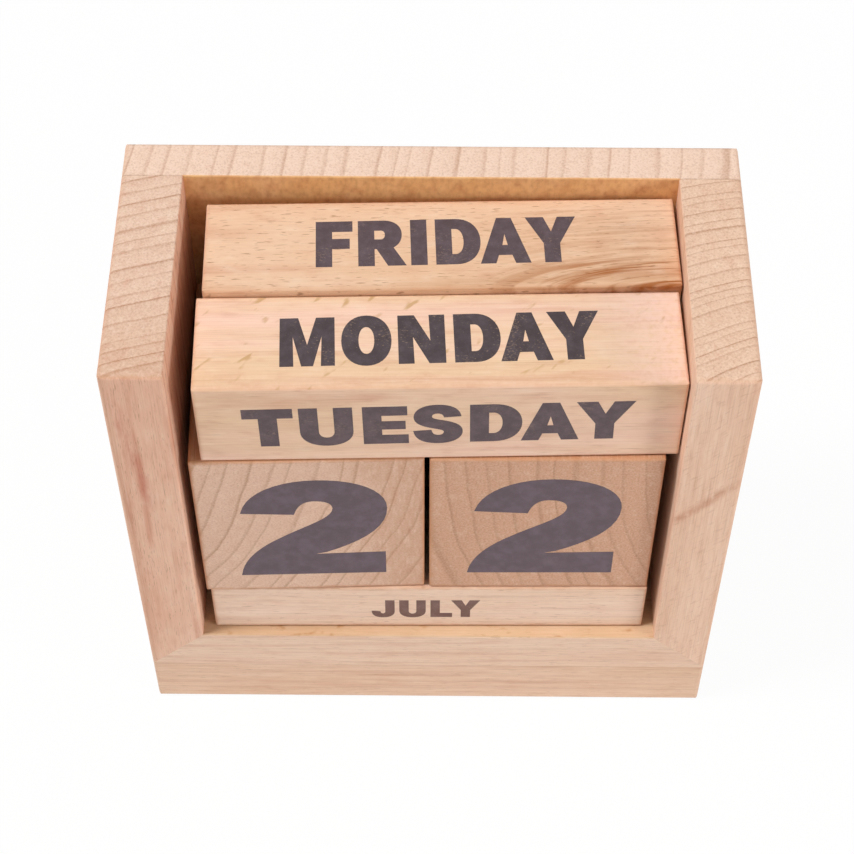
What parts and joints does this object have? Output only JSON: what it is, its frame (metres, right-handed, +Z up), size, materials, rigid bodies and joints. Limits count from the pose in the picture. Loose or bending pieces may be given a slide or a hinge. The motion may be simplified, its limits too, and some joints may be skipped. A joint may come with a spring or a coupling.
{
  "type": "wooden perpetual desk calendar",
  "caption": "Beech desk calendar: mitred box frame, open at the front and top, holding loose month bars, date cubes and day bars that lift or slide out to be turned.",
  "frame": {"origin": "middle of the underside, on the surface that the calendar stands on", "axes": "+Z up, the open front faces -Y, +X to the right as seen from the front"},
  "size_m": [0.13, 0.0632, 0.1252],
  "materials": {
    "frame_beech": "bare sanded beech, pinkish tan",
    "bar_beech": "bare sanded beech, pale, with dark lettering",
    "cube_beech": "bare sanded beech end grain, with dark numbers",
    "dowel_beech": "turned beech rod",
    "print_ink": "printed ink, dark grey-brown, rubbed thin in places"
  },
  "bodies": {
    "frame": {"base_board": "frame_beech", "floor_board": "frame_beech", "left_side": "frame_beech", "right_side": "frame_beech", "back_board": "frame_beech", "base_dowels": "dowel_beech", "left_back_dowels": "dowel_beech", "right_back_dowels": "dowel_beech", "floor_back_dowels": "dowel_beech"},
    "month_bar_rear": {"month_bar_rear": "bar_beech"},
    "month_bar_middle": {"month_bar_middle": "bar_beech"},
    "month_bar_front": {"month_bar_front": "bar_beech"},
    "left_date_cube": {"left_date_cube": "cube_beech"},
    "right_date_cube": {"right_date_cube": "cube_beech"},
    "day_bar_front": {"day_bar_front": "bar_beech"},
    "day_bar_rear": {"day_bar_rear": "bar_beech"}
  },
  "joints": [
    {"name": "month_rear_slide", "type": "slide", "parent": "frame", "child": "month_bar_rear", "axis": [0, -1, 0], "range_m": [0, 0.06]},
    {"name": "month_middle_slide", "type": "slide", "parent": "month_bar_rear", "child": "month_bar_middle", "axis": [0, -1, 0], "range_m": [0, 0.042]},
    {"name": "month_front_slide", "type": "slide", "parent": "month_bar_middle", "child": "month_bar_front", "axis": [0, -1, 0], "range_m": [0, 0.025]},
    {"name": "left_cube_slide", "type": "slide", "parent": "frame", "child": "left_date_cube", "axis": [0, -1, 0], "range_m": [0, 0.06]},
    {"name": "right_cube_slide", "type": "slide", "parent": "frame", "child": "right_date_cube", "axis": [0, -1, 0], "range_m": [0, 0.06]},
    {"name": "day_front_lift", "type": "slide", "parent": "frame", "child": "day_bar_front", "axis": [0, 0, 1], "range_m": [0, 0.04]},
    {"name": "day_rear_lift", "type": "slide", "parent": "frame", "child": "day_bar_rear", "axis": [0, 0, 1], "range_m": [0, 0.04]}
  ]
}
